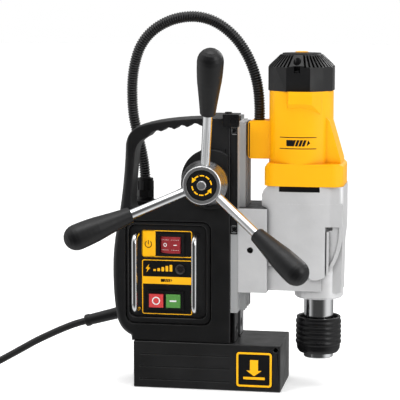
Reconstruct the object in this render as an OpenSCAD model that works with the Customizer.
// Magnetic drill press: an electromagnet base, a body with a carrying handle and a control
// panel, and a motor, gearbox and spindle on a dovetail slide that a three-armed hub moves.
// X runs along the magnet, Y across it and away from the operator, Z up.
// The origin is the centre of the magnet's working face. Millimetres and degrees.

/* [Magnet] */
// Length of the magnet along X
magnet_len = 165; // [163:1:180]
// Width of the magnet along Y
magnet_w = 80; // [80:1:96]
// Height of the magnet
magnet_h = 52; // [52:1:54]

/* [Body] */
// Depth of the body along Y
body_d = 77; // [76:1:80]
// Height of the top of the body above the work
body_top = 302; // [300:1:306]
// Width of the carrying handle along Y
handle_w = 32; // [28:1:34]

/* [Feed] */
// X of the feed hub's axis
feed_x = 5; // [5:1:5]
// Height of the feed hub's axis
feed_z = 235; // [233:1:236]
// Distance from the hub's axis to the round end of a grip
grip_reach = 134; // [120:1:140]
// Diameter of an arm's rod
rod_d = 10; // [8:0.5:12]
// Teeth on the feed pinion
pinion_teeth = 14; // [14:1:14]
// Gear module of the feed pinion and the rack
feed_module = 1.5; // [1.5:0.5:1.5]

/* [Drive] */
// X of the motor's axis
motor_x = 99; // [99:1:99]
// X of the spindle's axis
spindle_x = 120; // [120:1:120]
// Diameter of the motor housing's barrel
barrel_d = 75; // [74:0.2:76]
// Bore of the spindle, for a 19 mm weldon shank
shank_bore = 19.1; // [19.06:0.02:19.2]
// Outside diameter of the spindle's lower part
spindle_d = 32.8; // [31:0.2:33]
// Diameter of the quick-change collar
collar_d = 51; // [49:0.5:52]

/* [Cables] */
// Outside diameter of the corrugated conduit
conduit_d = 12; // [10:0.5:12]
// Diameter of the mains cord
cord_d = 8; // [7:0.5:8]

/* [Hidden] */
$fn = 48;
e = 0.01;                                   // overshoot of a cut past a face
fit = 0.05;                                 // radial clearance of a running fit
front = -body_d / 2;                        // Y of the body's front face
split = body_d / 2 - 3;                     // Y where the rear cover starts
back = body_d / 2;                          // Y of the body's back face
side = 26;                                  // X of the body's right face
floor_t = 12;                               // thickness of the magnet's top plate
boss_r = 33;                                // boss on the body round the feed hub
hub_y = -100;                               // Y of the hub's face
arm_y = -91;                                // Y where an arm's axis leaves the hub
grip_y = -148;                              // Y of a grip's round end
grip_r = 13.8;                              // radius of a grip's round end
arm_angles = [82.5, 202.5, 322.5];
arm_tilt = atan2(arm_y - grip_y, grip_reach - 16);
arm_len = norm([grip_reach - 16, arm_y - grip_y]);
pitch_r = pinion_teeth * feed_module / 2;   // pitch radius of the feed pinion
rack_x = feed_x + pitch_r;                  // X of the rack's pitch line
slide_z = [87, 296];                        // lower and upper end of the slide
joint_z = 228;                              // where the motor stands on the gearbox
cover_z = 209;                              // where the gearbox cover stands on the casting
motor = [motor_x, 0];
flat = 35.2;                                // distance of the barrel's flats from its axis
spindle_at = [spindle_x, 0];
counter = [109.5, 15.835];                  // axis of the intermediate gear
gear_m = 1;                                 // module of the reduction gears
small_teeth = 10;
large_teeth = 28;
gland = [-81, 20];                          // X and Y of the conduit's gland
gland_z = 203;
boot_z = 77;                                // height of the cord's strain relief on the body
boot_tilt = 15.7;
boot_len = 46;
boot_x = -102.6;
coil_at = [-340, -76];
coil_r = [26, 66];
coil_h = 16;

black = [0.13, 0.13, 0.13];
charcoal = [0.2, 0.2, 0.21];
yellow = [0.98, 0.7, 0.09];
silver = [0.78, 0.79, 0.8];
steel = [0.6, 0.61, 0.63];
chrome = [0.85, 0.86, 0.88];
gold = [0.93, 0.64, 0.12];
copper = [0.72, 0.4, 0.2];

// ---- outlines ----

// Points of an arc about [x, y]
function arc(x, y, r, a0, a1, n = 8) =
  [for (i = [0:n]) let (a = a0 + (a1 - a0) * i / n) [x + r * cos(a), y + r * sin(a)]];

// Points of a curve that leaves p towards q and arrives at s, without p itself
function bend(p, q, s, n = 6) =
  [for (i = [1:n]) let (t = i / n) (1 - t) * (1 - t) * p + 2 * t * (1 - t) * q + t * t * s];

function round_rect(x0, y0, x1, y1, r, n = 4) = concat(
  arc(x1 - r, y0 + r, r, -90, 0, n), arc(x1 - r, y1 - r, r, 0, 90, n),
  arc(x0 + r, y1 - r, r, 90, 180, n), arc(x0 + r, y0 + r, r, 180, 270, n));

// Left side of the body, from the handle's outer corner down to the magnet
left_side = concat(
  [[-101, 184]], bend([-101, 184], [-106.5, 158], [-106.6, 134]),
  bend([-106.6, 134], [-106.8, 104], [-103, 80]),
  bend([-103, 80], [-100, 63], [-86, 57.5]), [[-85, magnet_h]]);

// Body without its handle: the panel part and the tower
body_outline = concat(
  [[side, magnet_h], [side, body_top], [-2, body_top]],
  arc(feed_x, feed_z, boss_r, 102.3, 200, 12), [[-30, 222], [-92, 189.5]], left_side);

// Body with its handle, before the hand opening is cut
handle_outline = concat(
  [[side, magnet_h], [side, body_top], [-10, body_top]],
  bend([-10, body_top], [-52, body_top - 1.5], [-75, 292.5]),
  bend([-75, 292.5], [-87.5, 287], [-91, 272]),
  bend([-91, 272], [-93.5, 222], [-101, 184]), left_side);

// Hand opening, with four finger scallops along its top
opening_outline = concat(
  arc(feed_x, feed_z, boss_r, 200, 102.3, 12), [[-2, 287]],
  bend([-2, 287], [-3, 293], [-8, 293.5], 3),
  bend([-8, 293.5], [-14, 298.5], [-21.9, 291], 5), bend([-21.9, 291], [-29.6, 296.5], [-36.3, 288.5], 5),
  bend([-36.3, 288.5], [-44, 293.5], [-50.8, 286], 5), bend([-50.8, 286], [-58.5, 290], [-66, 280], 5),
  bend([-66, 280], [-79, 275], [-80.5, 262], 5), [[-84.2, 222]],
  bend([-84.2, 222], [-87.5, 192.5], [-76, 198], 5), [[-30, 222]]);

// Inside of the body
cavity_outline = concat(
  [[side - 3.5, magnet_h + 5], [side - 3.5, body_top - 5], [2, body_top - 5]],
  arc(feed_x, feed_z, boss_r - 4, 96, 200, 10),
  [[-28, 218.5], [-80, 191], [-93, 185], [-98, 176], [-102, 150], [-102.8, 134], [-101.5, 100],
   [-98.8, 82], [-84, 62], [-82, magnet_h + 5]]);

cover_screw_at = [[-80, 66], [6, 67], [-94, 168], [-34, 205], [8, 288]];

// Module m gear: a polygon with straight-rooted involute teeth, one tooth pointing along +X
pressure = 25;
function involute(base, r) = let (t = sqrt(max(0, (r / base) * (r / base) - 1))) t * 180 / PI - atan(t);
function gear_outline(m, teeth, slack) =
  let (pr = m * teeth / 2, base = pr * cos(pressure), tip = pr + 0.8 * m, root = pr - 1.1 * m,
       half = 90 / teeth - slack / pr * 180 / PI / 2, zero = half + involute(base, pr),
       foot = max(root, base), steps = 4)
  [for (k = [0:teeth - 1], j = [-1, 1], i = [0:steps + 1])
    let (s = j < 0 ? i : steps + 1 - i,
         r = s == 0 ? root : foot + (tip - foot) * (s - 1) / steps,
         a = s == 0 ? zero : zero - involute(base, r))
    [r * cos(k * 360 / teeth + j * a), r * sin(k * 360 / teeth + j * a)]];

// ---- solids ----

module in_y(y0, y1) translate([0, y1, 0]) rotate([90, 0, 0]) linear_extrude(y1 - y0) children();
module in_x(x0, x1) translate([x0, 0, 0]) rotate([90, 0, 90]) linear_extrude(x1 - x0) children();
module in_z(z0, z1) translate([0, 0, z0]) linear_extrude(z1 - z0) children();
module block(x0, x1, y0, y1, z0, z1) translate([x0, y0, z0]) cube([x1 - x0, y1 - y0, z1 - z0]);
module rod_x(y, z, r, x0, x1) translate([x0, y, z]) rotate([0, 90, 0]) cylinder(h = x1 - x0, r = r);
module rod_y(x, z, r, y0, y1) translate([x, y1, z]) rotate([90, 0, 0]) cylinder(h = y1 - y0, r = r);
module rod_z(at, r, z0, z1) translate([at[0], at[1], z0]) cylinder(h = z1 - z0, r = r);
module ring_z(at, r0, r1, z0, z1) difference() {
  rod_z(at, r1, z0, z1);
  rod_z(at, r0, z0 - e, z1 + e);
}
module ring_y(x, z, r0, r1, y0, y1) difference() {
  rod_y(x, z, r1, y0, y1);
  rod_y(x, z, r0, y0 - e, y1 + e);
}

// A tube of n sides along the points of a path that never runs along Y
function unit(v) = v / norm(v);
function along(path, i) = unit(path[min(i + 1, len(path) - 1)] - path[max(i - 1, 0)]);
function hoop(p, t, r, n) = let (u = unit(cross(t, [0, 1, 0])), v = cross(t, u))
  [for (k = [0:n - 1]) p + r * (cos(k * 360 / n) * u + sin(k * 360 / n) * v)];
module tube(path, r, n = 10) {
  last = len(path) - 1;
  points = [for (i = [0:last]) each hoop(path[i], along(path, i), r, n)];
  sides = [for (i = [0:last - 1], k = [0:n - 1])
    [i * n + k, i * n + (k + 1) % n, (i + 1) * n + (k + 1) % n, (i + 1) * n + k]];
  ends = [[for (k = [n - 1:-1:0]) k], [for (k = [0:n - 1]) last * n + k]];
  polyhedron(points, concat(sides, ends), convexity = 6);
}

// A coil spring standing on z0 about the Z axis
module spring(r, wire, z0, z1, turns, n = 14) {
  m = 6;
  last = turns * n;
  rise = (z1 - z0 - 2 * wire) / last;
  points = [for (i = [0:last], k = [0:m - 1])
    let (a = i * 360 / n, q = r + wire * cos(k * 360 / m))
    [q * cos(a), q * sin(a), z0 + wire + rise * i + wire * sin(k * 360 / m)]];
  sides = [for (i = [0:last - 1], k = [0:m - 1])
    [i * m + (k + 1) % m, i * m + k, (i + 1) * m + k, (i + 1) * m + (k + 1) % m]];
  ends = [[for (k = [0:m - 1]) k], [for (k = [m - 1:-1:0]) last * m + k]];
  polyhedron(points, concat(sides, ends), convexity = 6);
}

// Places its children, drawn about the Z axis, along one arm: Z runs out along the arm
module on_arm(angle) translate([feed_x, arm_y, feed_z]) rotate([0, -angle, 0])
  translate([16, 0, 0]) rotate([0, 0, -arm_tilt]) rotate([0, 90, 0]) children();

// A cap screw along -Z with its head standing on z = 0
module cap_screw(r, length) difference() {
  union() {
    translate([0, 0, -length]) cylinder(h = length, r = r);
    cylinder(h = 1.6 * r, r = 1.65 * r);
  }
  translate([0, 0, 0.7 * r]) cylinder(h = 2 * r, r = 0.9 * r, $fn = 6);
}

// ---- magnet ----

module magnet_housing() color(black) difference() {
  block(-magnet_len / 2, magnet_len / 2, -magnet_w / 2, magnet_w / 2, 0, magnet_h);
  block(-magnet_len / 2 + 12, magnet_len / 2 - 12, -magnet_w / 2 + 12, magnet_w / 2 - 12, -e, magnet_h - floor_t);
  for (z = [9.5, 24, 38], s = [-1, 1])
    block(-76, 26, s * magnet_w / 2 - 1, s * magnet_w / 2 + 1, z - 0.9, z + 0.9);
  for (x = [-65, -15], y = [-26, 26]) rod_z([x, y], 4, magnet_h - 10, magnet_h + e);
  for (x = [-25, 25]) {
    rod_z([x, 0], 4.1, 0, magnet_h + e);
    rod_z([x, 0], 7, magnet_h - 6.5, magnet_h + e);
  }
  rod_y(77, 47, 2.5, -magnet_w / 2 - e, -magnet_w / 2 + 9);
}

module magnet_core() color(steel) difference() {
  block(-44, 44, -14, 14, 0, magnet_h - floor_t);
  for (x = [-25, 25]) rod_z([x, 0], 4, 18, magnet_h);
}

module magnet_coil() color(copper) difference() {
  block(-69, 69, -26.5, 26.5, 5, magnet_h - floor_t - 1);
  block(-45, 45, -15, 15, 4, magnet_h);
}

module coil_seal() color(gold) difference() {
  block(-70.5, 70.5, -28, 28, 0.6, 4.6);
  block(-44, 44, -14, 14, 0, 5);
}

module base_screws() color(steel) {
  for (x = [-65, -15], y = [-26, 26]) translate([x, y, magnet_h + 5]) cap_screw(3.95, 14);
  for (x = [-25, 25]) translate([x, 0, magnet_h - 6.5]) cap_screw(3.9, 26);
}

module magnet_label() color(gold) in_y(-magnet_w / 2 - 0.4, -magnet_w / 2)
  polygon(round_rect(33, 4.5, 73.5, 44.5, 3));

// ---- body ----

module body_casing() color(charcoal) difference() {
  union() {
    difference() {
      in_y(front, split) polygon(body_outline);
      in_y(front + 3.5, split + e) polygon(cavity_outline);
    }
    in_y(front, front + handle_w) difference() {
      polygon(handle_outline);
      polygon(opening_outline);
      polygon([[side + 1, 50], [side + 1, 250], [-20, 250], [-30, 215], [-90, 184], [-120, 184], [-120, 50]]);
    }
    intersection() {
      rod_y(feed_x, feed_z, boss_r - 0.5, front - 5.5, front + 3.5);
      block(-60, side - 2, front - 6, front + 4, 150, body_top - 2);
    }
    rod_y(feed_x, feed_z, 15, front, -12);
    in_y(front + 1, -28) polygon(round_rect(-94.5, 68.5, 8, 188, 9));
    in_z(188, gland_z) polygon(round_rect(gland[0] - 11.5, gland[1] - 11.5, gland[0] + 11.5, gland[1] + 11.5, 4));
    for (p = cover_screw_at) rod_y(p[0], p[1], 4.5, front + 1, split);
  }
  // panel well: a shallow outer step, the recess, and the aperture behind the panel
  in_y(front - e, front + 1.2) polygon(round_rect(-91.2, 72, 4.5, 186.6, 9));
  in_y(front - e, -31) polygon(round_rect(-87.6, 78.8, -0.9, 182.4, 7));
  in_y(-32, -27) polygon(round_rect(-82, 84, -6, 177, 5));
  // feed shaft, conduit, cord, rack and screws
  rod_y(feed_x, feed_z, 11, front - 6, -11);
  rod_z(gland, 6.2, 175, gland_z + e);
  translate([boot_x, 0, boot_z]) rotate([0, -90 - boot_tilt, 0]) translate([0, 0, -16]) cylinder(h = 40, r = 7.3);
  block(13, side + e, -9, 9, 80, body_top + e);
  for (p = cover_screw_at) rod_y(p[0], p[1], 2, split - 22, split + e);
  for (x = [-65, -15], y = [-26, 26]) rod_z([x, y], 4.2, magnet_h - e, magnet_h + 6);
  for (y = [-16, 16], z = [66, 130, 210, 285]) rod_x(y, z, 3, side - 4, side + e);
  // sight slot near the slide
  block(19.6, 21.2, front - e, front + 1.5, 257, 268);
}

module rear_cover() color(charcoal) difference() {
  union() {
    in_y(split, back) polygon(body_outline);
    rod_y(feed_x, feed_z, 15, 12, split + 1);
  }
  rod_y(feed_x, feed_z, 11, 11, 34);
  block(13, side + e, -20, 9, 80, body_top + e);
  for (p = cover_screw_at) {
    rod_y(p[0], p[1], 2.2, split - e, back + e);
    rod_y(p[0], p[1], 4, back - 1.6, back + e);
  }
}

module cover_screws() color(steel) for (p = cover_screw_at)
  translate([p[0], back - 1.6, p[1]]) rotate([-90, 0, 0]) difference() {
    union() {
      cylinder(h = 1.4, r = 3.7);
      translate([0, 0, -20]) cylinder(h = 20, r = 1.95);
    }
    translate([-4, -0.5, 0.8]) cube([8, 1, 1]);
  }

// ---- slide ----

module guide_section(grow) polygon([[side, -28.5 - grow], [side + 4.5 + grow, -33 - grow],
  [side + 4.5 + grow, 33 + grow], [side, 28.5 + grow]]);

module slide_guide() color(steel) difference() {
  in_z(magnet_h + 1, body_top - 1) guide_section(0);
  block(side - e, side + 5, -9, 9, magnet_h, body_top);
  for (y = [-16, 16], z = [66, 130, 210, 285]) {
    rod_x(y, z, 3.1, side - e, side + 5);
    rod_x(y, z, 5.4, side + 1.2, side + 5);
  }
}

module guide_bracket() color(steel) difference() {
  union() {
    in_y(front - 3.5, front - 0.1) polygon(round_rect(18, 292, 36, body_top + 4, 2));
    block(18, 25, front - 3.5, -14, body_top, body_top + 4);
  }
  rod_y(29.5, 299, 2.1, front - 4, front);
  rod_y(29.5, 299, 3.6, front - 4, front - 2);
  rod_z([21.5, -24], 2.1, body_top - 1, body_top + 5);
}

module guide_screws() color(black) {
  for (y = [-16, 16], z = [66, 130, 210, 285]) translate([side + 1.2, y, z]) rotate([0, 90, 0])
    difference() {
      union() {
        cylinder(h = 3, r = 5.2);
        translate([0, 0, -4.6]) cylinder(h = 5, r = 2.95);
      }
      translate([0, 0, 1]) cylinder(h = 3, r = 2.9, $fn = 6);
    }
  rod_y(29.5, 299, 3.4, front - 3.3, front - 2);
  rod_y(29.5, 299, 2, front - 2.1, front - 0.1);
  rod_z([21.5, -24], 2.05, body_top + 0.1, body_top + 4.1);
  rod_z([21.5, -24], 3.8, body_top + 4, body_top + 5.6);
}

module slide_plate() color(silver) difference() {
  union() {
    block(side + 0.4, 34, -37.5, 37.5, slide_z[0], slide_z[1]);
    block(33, 38.4, -21, 21, slide_z[0], slide_z[1]);
    for (y = [-18.8, -7.2, 7.2, 18.8]) block(38, 40.2, y - 2.2, y + 2.2, slide_z[0], slide_z[1]);
  }
  in_z(slide_z[0] - e, slide_z[1] + e) {
    guide_section(0.1);
    polygon([[side, 10], [side + 4.6, 10], [side + 4.6, 36.1], [side, 31.6]]);
  }
  for (z = [180, 288]) rod_y(30.2, z, 2.5, -37.6, -34);
  for (z = [105, 190, 280]) rod_y(30, z, 2.5, 35, 38);
  for (y = [-14, 14], z = [125, 190]) {
    rod_x(y, z, 3.1, 30, 41);
    rod_x(y, z, 5.6, 30, 33.6);
  }
}

module rack() color(steel) difference() {
  block(rack_x - 0.8 * feed_module, side + 4.6, -7, 7, 113, 276);
  for (k = [-25:8]) translate([rack_x, 0, feed_z + k * PI * feed_module])
    in_y(-8, 8) rack_gap();
}

// The space between two rack teeth, deepest towards +X
module rack_gap() {
  half = PI * feed_module / 4 + 0.09;
  top = 0.8 * feed_module + 0.1;
  deep = 1.1 * feed_module;
  polygon([[-top, -half - top * tan(pressure)], [deep, -half + deep * tan(pressure)],
           [deep, half - deep * tan(pressure)], [-top, half + top * tan(pressure)]]);
}

module gib_strip() color(steel) in_z(slide_z[0] + 2, slide_z[1] - 2)
  polygon([[side + 0.5, 29.15], [side + 4.5, 33.15], [side + 4.5, 35.9], [side + 0.5, 31.9]]);

module gib_screws() color(black) {
  for (z = [180, 288]) difference() {
    rod_y(30.2, z, 2.45, -37.4, -34.5);
    block(26, 34, -38, -36.8, z - 0.5, z + 0.5);
  }
  for (z = [105, 190, 280]) difference() {
    rod_y(30, z, 2.45, 35.95, 37.4);
    block(26, 34, 36.8, 38, z - 0.5, z + 0.5);
  }
}

module slide_cover() color(black) difference() {
  block(26.5, 34, -38.3, -37.5, 174.5, 296);
  for (z = [180, 288]) in_y(-39, -37) polygon(round_rect(27.3, z - 4.2, 33.1, z + 4.2, 1.2));
}

module carriage_bracket() color(silver) difference() {
  in_z(110, 203) polygon([[34, -36.5], [66, -36.5], [66, 36.5], [34, 36.5], [34, 21.2], [40.2, 21.2],
    [40.2, -21.2], [34, -21.2]]);
  rod_y(47.7, 157, 3.4, -37, -25);
  for (y = [-14, 14], z = [125, 190]) rod_x(y, z, 3, 39, 53);
}

module carriage_screws() color(black) for (y = [-14, 14], z = [125, 190])
  translate([33.5, y, z]) rotate([0, -90, 0]) difference() {
    union() {
      cylinder(h = 2.6, r = 5.4);
      translate([0, 0, -18]) cylinder(h = 19, r = 2.95);
    }
    translate([0, 0, 1]) cylinder(h = 3, r = 2.9, $fn = 6);
  }

// ---- control panel ----

module control_panel() color(black) difference() {
  union() {
    in_y(-34, -31) polygon(round_rect(-87, 79.4, -1.5, 181.8, 6.5));
    for (x = [-76, -12], z = [88.5, 172.5]) rod_y(x, z, 3, -32, -12.9);
  }
  for (x = [-77.6, -11.2], z = guard_z) rod_y(x, z, 3.05, -35, -31.4);
  block(-54.6, -27.4, -35, -30, 149, 171.5);
  block(-66, -28.5, -35, -30, 88.8, 106.8);
  rod_y(-30.4, 133.3, 4.6, -35, -30);
}

module panel_label() color(gold) difference() {
  in_y(-34.3, -34) {
    polygon(round_rect(-73.6, 146.2, -17, 176.3, 2.5));
    polygon(round_rect(-73.6, 82, -17, 143.4, 2.5));
  }
  block(-56.5, -25.5, -35, -33, 147.5, 173);
  block(-67.8, -26.4, -35, -33, 87.2, 108.4);
  rod_y(-30.4, 133.3, 5.8, -35, -33);
}

guard_z = [88.7, 172];

// Upright bar that stands off the panel on two bent legs
module guard_bar(x) {
  turn = 9;
  out = -56;
  low = guard_z[0];
  high = guard_z[1];
  rod_z([x, out], 3, low + turn, high - turn);
  for (up = [0, 1]) translate([x, out + turn, up == 1 ? high - turn : low + turn]) rotate([90, 0, 90])
    rotate([0, 0, up == 1 ? 90 : 180]) rotate_extrude(angle = 90) translate([turn, 0]) circle(r = 3);
  for (z = [low, high]) rod_y(x, z, 3, out + turn, -31.5);
}

module guard_bars() color(chrome) for (x = [-77.6, -11.2]) guard_bar(x);

module rocker_frame() color(black) difference() {
  union() {
    block(-56.5, -25.5, -35.6, -34, 147.5, 173);
    block(-54.4, -27.6, -34.5, -16, 149.2, 171.3);
  }
  block(-53.2, -28.8, -36, -18, 150.6, 169.9);
  rod_z([-41, -31], 1.55, 149, 171.5);
}

// Rocker seen from above: two wings that meet at a crest, turned about its pivots
module rocker() color([0.75, 0.16, 0.2]) translate([-41, -31, 0]) rotate([0, 0, -8]) {
  in_z(151, 169.5) polygon(concat([[0, -5.2], [11.3, -3.4]], arc(0, 0, 11.8, -8, 30, 4),
    [[5, 9], [-5, 9]], arc(0, 0, 11.8, 150, 188, 4), [[-11.3, -3.4]]));
  rod_z([0, 0], 1.5, 149.5, 171);
}

module overload_lens() color([0.1, 0.1, 0.12]) {
  rod_y(-30.4, 133.3, 4.5, -35, -29);
  translate([-30.4, -34.9, 133.3]) rotate([90, 0, 0]) intersection() {
    translate([0, 0, -8]) sphere(r = 10);
    cylinder(h = 5, r = 5.5);
  }
}

module switch_frame() color(black) difference() {
  union() {
    block(-67.8, -26.4, -36.4, -34, 87.2, 108.4);
    block(-65.9, -28.6, -34.5, -15, 88.9, 106.7);
  }
  block(-65.3, -48.7, -37, -17, 90, 105.6);
  block(-46.3, -29.6, -37, -17, 90, 105.6);
}

module stop_button() color([0.78, 0.2, 0.24]) difference() {
  block(-65, -49, -38.4, -22, 90.3, 105.3);
  ring_y(-57, 97.8, 3.2, 4.4, -39, -38.1);
}

module start_button() color([0.22, 0.6, 0.28]) difference() {
  block(-46, -29.9, -37.6, -22, 90.3, 105.3);
  block(-42, -34, -38, -37.3, 97.1, 98.5);
}

module control_board() color([0.1, 0.35, 0.2]) {
  block(-82, -6, -12.9, -11.3, 86, 176);
  for (z = [96, 124, 152]) block(-74, -52, -11.3, 4, z, z + 18);
  block(-40, -16, -11.3, 8, 100, 140);
}

// ---- conduit and cord ----

module conduit_gland() color(black) difference() {
  union() {
    rod_z(gland, 9.8, gland_z, gland_z + 4);
    translate([gland[0], gland[1], gland_z + 4]) cylinder(h = 8, r = 10, $fn = 6);
    rod_z(gland, 9.2, gland_z + 12, 228);
    for (a = [0:45:315]) translate([gland[0] + 9 * cos(a), gland[1] + 9 * sin(a), gland_z + 12])
      cylinder(h = 10, r = 1);
  }
  rod_z(gland, 6.2, gland_z - e, 218);
  rod_z(gland, 6.5, 217, 229);
}

conduit_route = [[-81, 20, 218], [-81, 20, 228], [-81.6, 20, 238], [-83.5, 20, 252], [-87, 20, 268],
  [-91, 20, 284], [-94, 19.5, 300], [-95.2, 19, 318], [-94.8, 18.5, 338], [-92, 18, 357],
  [-86, 17, 375], [-76, 16, 389.5], [-62, 15, 400.5], [-44, 13.5, 408], [-24, 12, 410.5],
  [-6, 10.5, 407.5], [10, 9, 399.5], [25, 7, 386.5], [37.5, 5, 369], [46, 3, 350], [50.7, 1.5, 331],
  [52.4, 0.4, 312], [52.5, 0, 294.8]];

module conduit() color(black) tube(conduit_route, conduit_d / 2, 12);

module strain_relief() color(black) translate([boot_x, 0, boot_z]) rotate([0, -90 - boot_tilt, 0])
  rotate_extrude() polygon([[0, -4], [7.2, -3], [7.2, 3], [6.7, 4], [6.2, boot_len - 6],
    [6.9, boot_len - 5], [6.9, boot_len - 1], [6.2, boot_len], [0, boot_len]]);

boot_end = [boot_x - boot_len * cos(boot_tilt), 0, boot_z - boot_len * sin(boot_tilt)];
cord_route = [boot_end, [-158, 0, 61], [-174, 0, 54.5], [-190, 0, 47], [-206, -1, 39], [-221, -3, 30.5],
  [-236, -5, 22], [-252, -8, 13.5], [-268, -11, 7.5], [-284, -13, 4.8], [-300, -14, 4.1], [-318, -14, 4.1]];
tail_route = [[-322, -138, 12], [-308, -138, 12.6], [-296, -138, 13]];

module power_cord() color(black) {
  tube(cord_route, cord_d / 2, 10);
  tube(tail_route, cord_d / 2, 10);
}

module cord_coil() color(black) translate([coil_at[0], coil_at[1], 0]) rotate_extrude()
  polygon(concat(arc(coil_r[1] - 4, 4, 4, -90, 0, 3), arc(coil_r[1] - 4, coil_h - 4, 4, 0, 90, 3),
    arc(coil_r[0] + 4, coil_h - 4, 4, 90, 180, 3), arc(coil_r[0] + 4, 4, 4, 180, 270, 3)));

module power_plug() color(black) {
  difference() {
    intersection() {
      translate([-296, -138, 13]) rotate([0, 90, 0])
        rotate_extrude() polygon([[0, 0], [5.5, 0], [6.5, 12], [13, 22], [13, 44], [12, 46], [0, 46]]);
      block(-300, -240, -151, -125, 1.5, 26);
    }
    for (y = [-3.2, 3.2]) rod_x(-138 + 2 * y, 13, 2.4, -252, -249);
  }
  for (y = [-6.4, 6.4]) rod_x(-138 + y, 13, 2.4, -252, -232);
  rod_x(-138, 5.5, 2.4, -252, -230);
}

// ---- feed ----

module pinion_bushes() color(gold) {
  ring_y(feed_x, feed_z, 8 + fit, 11, -44, -12);
  ring_y(feed_x, feed_z, 8 + fit, 11, 12, 33);
}

module pinion_shaft() color(steel) {
  rod_y(feed_x, feed_z, 8, -76, 32);
  in_y(-7.5, 7.5) translate([feed_x, feed_z]) polygon(gear_outline(feed_module, pinion_teeth, 0.16));
}

module feed_hub() color(chrome) difference() {
  translate([feed_x, 0, feed_z]) rotate([90, 0, 0]) rotate_extrude() polygon([[0, 46.5], [19, 46.5],
    [20, 47.5], [20, 77], [24.6, 79], [25.4, 83], [25, 85.5], [20.9, 97], [20.4, 99.4], [19.6, 100],
    [16.5, 100], [16.5, 98.8], [0, 98.8]]);
  rod_y(feed_x, feed_z, 8 + e, -76, -46);
  rod_y(feed_x, feed_z, 5.1, -101, -80);
  for (a = arm_angles) on_arm(a) translate([0, 0, -10]) cylinder(h = 30, r = rod_d / 2);
}

module hub_label() color(black) ring_y(feed_x, feed_z, 5.4, 16.3, -99.4, -98.8);

module release_button() color(chrome) {
  translate([feed_x, 0, feed_z]) rotate([90, 0, 0]) rotate_extrude() polygon([[0, 84], [2.2, 84],
    [2.2, 92], [5, 92], [5, 101.2], [4.3, 102], [0, 102.2]]);
}

module release_spring() color(steel) translate([feed_x, -80.1, feed_z]) rotate([90, 0, 0])
  spring(3.7, 0.45, 0, 11.8, 4, 10);

module handle_rods() color(chrome) for (a = arm_angles) on_arm(a)
  translate([0, 0, -9.5]) cylinder(h = arm_len - 9.5, r = rod_d / 2 - 0.02);

// Teardrop grip with a blind hole for the rod
grip_start = arm_len - 62;
module handle_grips() color(black) for (a = arm_angles) on_arm(a) difference() {
  rotate_extrude() polygon(concat([[0, grip_start], [7.8, grip_start], [8.3, grip_start + 0.8]],
    bend([8.3, grip_start + 0.8], [9.9, grip_start + 17], [12.7, grip_start + 38], 5),
    bend([12.7, grip_start + 38], [13.8, grip_start + 50], [grip_r, arm_len - 2], 4),
    [for (t = [0:15:90]) [grip_r * cos(t), arm_len + grip_r * sin(t)]]));
  translate([0, 0, grip_start - 1]) cylinder(h = 54, r = rod_d / 2);
}

// ---- gearbox ----

case_screws = [[75, -29], [75, 29], [142.5, -20], [142.5, 20]];
bow_r = 110;                                // radius of the case's bowed front and back
bow_y = 73;

// Front view of the bowed part of the case
bow_outline = concat([[59, cover_z], [59, 206], [66, 203], [66, 140], [88, 139]],
  bend([88, 139], [104, 138], [112, 129], 5), bend([112, 129], [117, 122], [129.5, 129], 5),
  [[129.5, 184], [138, 184], [138, cover_z]]);

// Front view of the layer behind it, whose lower right edge sweeps round
sweep_outline = concat([[112, cover_z], [148.5, cover_z], [148.5, 186]],
  bend([148.5, 186], [148, 146], [128, 127], 8), [[112, 124]]);

// Shallow recess that leaves a rim along that layer's curved edge
sweep_recess = concat([[112, 184], [144.7, 184]],
  bend([144.7, 184], [144.2, 149], [126.5, 131.5], 8), [[112, 129]]);

module bowed(z0, z1) intersection() {
  in_z(z0, z1) polygon(concat(arc(71, -25, 12, 180, 270, 6), arc(135.5, -35, 2, -90, 0, 3),
    arc(135.5, 35, 2, 0, 90, 3), arc(71, 25, 12, 90, 180, 6)));
  rod_z([102, bow_y], bow_r, z0 - 1, z1 + 1);
  rod_z([102, -bow_y], bow_r, z0 - 1, z1 + 1);
}

module gearbox_casting() color(silver) difference() {
  union() {
    intersection() {
      bowed(100, cover_z);
      in_y(-38, 38) polygon(bow_outline);
    }
    difference() {
      in_y(-31.5, 30) polygon(sweep_outline);
      in_y(-32, -30) polygon(sweep_recess);
    }
    block(131.2, 133.6, -33.4, -29, 131.5, 179);
    block(66, 125, -29, 29, 112, 145);
    rod_z(spindle_at, 27, 104, 190);
    in_y(-21, 21) polygon([[130, 110], [146.4, 110], [147.8, 190], [130, 190]]);
    rod_z(spindle_at, 25.4, 102.2, 105);
  }
  block(130.4, 137.2, -32, -27.4, 180, 183.8);
  // gear chamber, spindle and bearings
  difference() {
    in_z(160, cover_z + e) polygon(round_rect(80, -27, 137, 32, 12));
    rod_z(spindle_at, 19, 159, 183);
    rod_z(counter, 10, 159, 173);
  }
  rod_z(spindle_at, 13.5, 95, 184);
  rod_z(spindle_at, 22, 98, 119);
  rod_z(spindle_at, 18, 123, 168);
  rod_z(spindle_at, 15, 172, 184);
  rod_z(counter, 6.5, 165, 172.2);
  rod_z(counter, 4.2, 171, 184);
  for (p = case_screws) rod_z(p, 2.5, 190, cover_z + e);
}

module gearbox_cover() color(silver) difference() {
  union() {
    intersection() {
      bowed(cover_z, joint_z);
      in_y(-38, 38) polygon(concat([[138, cover_z], [138, joint_z], [69, joint_z]],
        bend([69, joint_z], [60, 227], [59, 214], 5), [[59, cover_z]]));
    }
    in_z(cover_z, joint_z) polygon(round_rect(110, -31.5, 148.8, 30, 5));
  }
  in_z(222, joint_z + e) polygon(round_rect(72, -25, 145, 25, 6));
  block(78.8, 123.4, -38, -20, 222, joint_z + e);
  rod_z(motor, 8, cover_z - e, 223);
  rod_z(counter, 7, cover_z - e, 219);
  for (p = case_screws) rod_z(p, 2.6, cover_z - e, joint_z + e);
}

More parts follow.
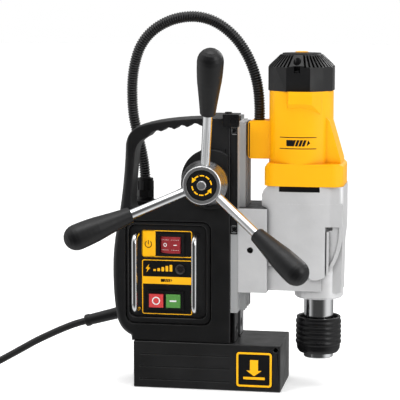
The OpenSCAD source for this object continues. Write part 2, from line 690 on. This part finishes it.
module motor_baffle() color(black) difference() {
  union() {
    in_z(222, joint_z - 0.1) polygon(round_rect(72.2, -24.8, 144.8, 24.8, 5.8));
    block(79, 123.2, -33, -24, 222, joint_z - 0.1);
  }
  rod_z(motor, 12, 221, joint_z);
  for (p = case_screws) rod_z(p, 2.7, 221, joint_z);
}

// ---- motor ----

// The motor's barrel: a square with four bowed sides, as wide as the end cap at sides and corners
side_r = 44.7;
module barrel_section(z0, z1) intersection() {
  rod_z([motor_x + flat - side_r, 0], side_r, z0, z1);
  rod_z([motor_x - flat + side_r, 0], side_r, z0, z1);
  rod_z([motor_x, flat - side_r], side_r, z0, z1);
  rod_z([motor_x, side_r - flat], side_r, z0, z1);
}

// Shallow pad on the front of the barrel, with sloping sides and a slanted lower edge
module barrel_pad() intersection() {
  in_x(86, 125) polygon([[-26, 331], [-39, 331], [-39, 317.5], [-28, 306], [-26, 306]]);
  in_z(300, 331) polygon([[87.2, -28], [87.2, -34], [89, -39], [114.5, -39], [123.5, -28.2], [110, -26]]);
}

module motor_housing() color(yellow) difference() {
  union() {
    barrel_section(joint_z, 331);
    intersection() {
      in_y(-38, 38) polygon([[61.5, joint_z], [61.5, 247], [65.5, 252.5], [144, 252.5], [148, 249.5], [148, joint_z]]);
      in_z(joint_z, 254) polygon(round_rect(61.5, -flat, 148, flat, 13));
    }
    in_y(-22, 22) polygon([[104, 250], [144.7, 250], [144.7, 256], [132, 299], [128, 303], [104, 303]]);
    barrel_pad();
    block(62, 72, -16, 16, 256, 297.5);
  }
  rod_z(motor, 33.4, 238.5, 331 + e);
  rod_z(motor, 13, joint_z - e, 239);
  for (p = case_screws) rod_z(p, 2.6, joint_z - e, 244);
}

module junction_box() difference() {
  union() {
    color(yellow) difference() {
      in_y(-16, 16) polygon(concat([[62, 256]], [[62, 297.5]], arc(45.5, 294, 3.5, 90, 180, 4),
        arc(45.5, 259.5, 3.5, 180, 270, 4)));
      block(44.5, 59.5, -13.5, 13.5, 259, 294);
    }
    color(black) in_y(-15.6, 15.6) polygon([[40.5, 259.5], [42, 258], [42, 295.5], [40.5, 294]]);
  }
  rod_z([52.5, 0], 6.4, 293, 298);
}

cap_outline = [for (q = [0:3], a = [-20.2, 20.2, 45])
  motor + barrel_d / 2 * [cos(90 * q + a), sin(90 * q + a)]];
cap_screw_at = [for (a = [-93, -3, 87, 177]) motor + 30.5 * [cos(a), sin(a)]];

module motor_end_cap() color(black) difference() {
  intersection() {
    in_z(331, 373) polygon(cap_outline);
    translate([motor_x, 0, 0]) rotate_extrude() polygon([[0, 331], [38, 331], [38, 356],
      [23.4, 370], [21.4, 370.4], [21, 371.6], [0, 372.5]]);
  }
  difference() {
    translate([motor_x, 0, 0]) rotate_extrude() polygon([[0, 330], [33, 330], [33, 355],
      [20.5, 367.4], [0, 368]]);
    rod_z(motor, 15, 346, 372);
    for (p = cap_screw_at) rod_z(p, 5.4, 340, 370);
  }
  rod_z(motor, 11, 345, 358);
  rod_z(motor, 7, 345, 366);
  for (p = cap_screw_at) {
    rod_z(p, 4.2, 350, 372);
    rod_z(p, 2.6, 330, 351);
  }
  // notch in front of the front screw
  block(motor_x - 4.6, motor_x + 2, -39, -31, 351, 358);
  for (k = [0:47]) if (abs((k + 6) % 12 - 6) > 1) translate([motor_x, 0, 0]) rotate([0, 0, k * 7.5 - 93])
    block(23.6, 39, -1.2, 1.2, 357, 370.5);
}

module motor_screws() color(steel) {
  for (p = case_screws) rod_z(p, 2.45, 194, 243.5);
  for (p = cap_screw_at) translate([p[0], p[1], 350]) difference() {
    union() {
      cylinder(h = 3, r = 4);
      translate([0, 0, -16]) cylinder(h = 17, r = 2.5);
    }
    for (b = [0, 90]) rotate([0, 0, b]) translate([-2.6, -0.6, 1.6]) cube([5.2, 1.2, 2]);
  }
}

module field_stator() color(steel) difference() {
  union() {
    rod_z(motor, 33.2, 252, 300);
    for (s = [-1, 1]) ring_z(motor, 23.5, 30.5, s < 0 ? 246 : 299, s < 0 ? 253 : 306);
  }
  rod_z(motor, 20.8, 240, 310);
}

module motor_brushes() color(gold) for (s = [-1, 1]) {
  block(motor_x + (s < 0 ? -32.7 : 18), motor_x + (s < 0 ? -18 : 32.7), -5.5, 5.5, 310, 320);
  color(charcoal) block(motor_x + (s < 0 ? -18 : 12.4), motor_x + (s < 0 ? -12.4 : 18), -3.5, 3.5, 311.5, 318.5);
}

module motor_bearings() color(steel) {
  ring_z(motor, 6 + fit, 13, 229, 238);
  ring_z(motor, 4 + fit, 11, 349.5, 357.5);
}

module gearbox_bearings() color(steel) {
  ring_z(spindle_at, 12.5 + fit, 22, 106, 118);
  ring_z(spindle_at, 9 + fit, 15, 172.5, 182.5);
  ring_z(counter, 3.5 + fit, 6.5, 165.5, 172);
  ring_z(counter, 3.5 + fit, 7, 212.5, 218.5);
}

module armature() {
  color(steel) {
    rod_z(motor, 4, 320, 356);
    rod_z(motor, 6, 208, 320);
    translate([motor_x, 0, 198.4]) linear_extrude(10) rotate(mesh_turn_a) polygon(gear_outline(gear_m, small_teeth, 0.1));
    rod_z(motor, 20, 254, 298);
  }
  color(copper) {
    rod_z(motor, 16, 248, 304);
    rod_z(motor, 12, 308, 322);
  }
  color(black) {
    rod_z(motor, 11, 240, 247);
    for (k = [0:11]) translate([motor_x, 0, 241]) rotate([0, 0, k * 30]) translate([10, -0.8, 0]) cube([17, 1.6, 4.6]);
    rod_z(motor, 28, 240, 241.2);
  }
}

// Turns that bring each gear into mesh with its neighbour at rest
axis_ac = atan2(counter[1], counter[0] - motor_x);
axis_sc = atan2(counter[1], counter[0] - spindle_x);
mesh_turn_a = axis_ac;
mesh_turn_big = axis_ac + 180 + 180 / large_teeth;
mesh_turn_small = axis_sc + 180;
mesh_turn_s = axis_sc + 180 / large_teeth;

module intermediate_gear() color(steel) translate([counter[0], counter[1], 0]) {
  in_z(199.6, 206.4) rotate(mesh_turn_big) polygon(gear_outline(gear_m, large_teeth, 0.1));
  in_z(184.2, 199.7) rotate(mesh_turn_small) polygon(gear_outline(gear_m, small_teeth, 0.1));
  rod_z([0, 0], 3.5, 165.5, 218);
}

module spindle_gear() color(steel) translate([spindle_x, 0, 0]) difference() {
  in_z(185, 197) rotate(mesh_turn_s) polygon(gear_outline(gear_m, large_teeth, 0.1));
  rod_z([0, 0], 9.02, 184, 198);
}

module spindle() color(chrome) difference() {
  translate([spindle_x, 0, 0]) rotate_extrude() polygon([[0, 34], [spindle_d / 2 - 1, 34],
    [spindle_d / 2, 35], [spindle_d / 2, 74], [19.5, 74], [19.5, 76.5], [spindle_d / 2, 76.5],
    [spindle_d / 2, 104], [12.5, 104], [12.5, 130], [11.5, 132], [11.5, 168], [9, 169], [9, 198], [0, 198]]);
  rod_z(spindle_at, shank_bore / 2, 33, 84);
  rod_z(spindle_at, 4.2, 83, 120);
  for (s = [0, 180]) translate([spindle_x, 0, 60]) rotate([0, 90, s]) cylinder(h = 20, r = 4);
}

module arbor_collar() color(black) translate([spindle_x, 0, 0]) rotate_extrude()
  polygon(concat([[spindle_d / 2 + 0.08, 40.6], [21.5, 40], [23.8, 43.5], [24.3, 47.5]],
    [for (k = [0:4], t = [-2:2]) [collar_d / 2 - 0.3 * t * t, 51.6 + 5.6 * k + 1.3 * t]],
    [[24.3, 77.4], [24.6, 79.4], [24, 80], [22.2, 80], [21.4, 79.2], [21.4, 47],
     [spindle_d / 2 + 0.08, 46]]));

module collar_spring() color(steel) translate([spindle_x, 0, 0]) spring(18.6, 1, 47, 73.9, 5, 16);

// ---- what is drawn ----

magnet_housing();
magnet_core();
magnet_coil();
coil_seal();
base_screws();
magnet_label();
body_casing();
rear_cover();
cover_screws();
slide_guide();
guide_bracket();
guide_screws();
control_panel();
panel_label();
guard_bars();
rocker_frame();
rocker();
overload_lens();
switch_frame();
stop_button();
start_button();
control_board();
conduit_gland();
conduit();
strain_relief();
power_cord();
cord_coil();
power_plug();
pinion_bushes();
pinion_shaft();
feed_hub();
hub_label();
release_button();
release_spring();
handle_rods();
handle_grips();
slide_plate();
rack();
gib_strip();
gib_screws();
slide_cover();
carriage_bracket();
carriage_screws();
gearbox_casting();
gearbox_cover();
motor_baffle();
motor_housing();
junction_box();
motor_end_cap();
motor_screws();
field_stator();
motor_brushes();
motor_bearings();
gearbox_bearings();
armature();
intermediate_gear();
spindle();
spindle_gear();
arbor_collar();
collar_spring();
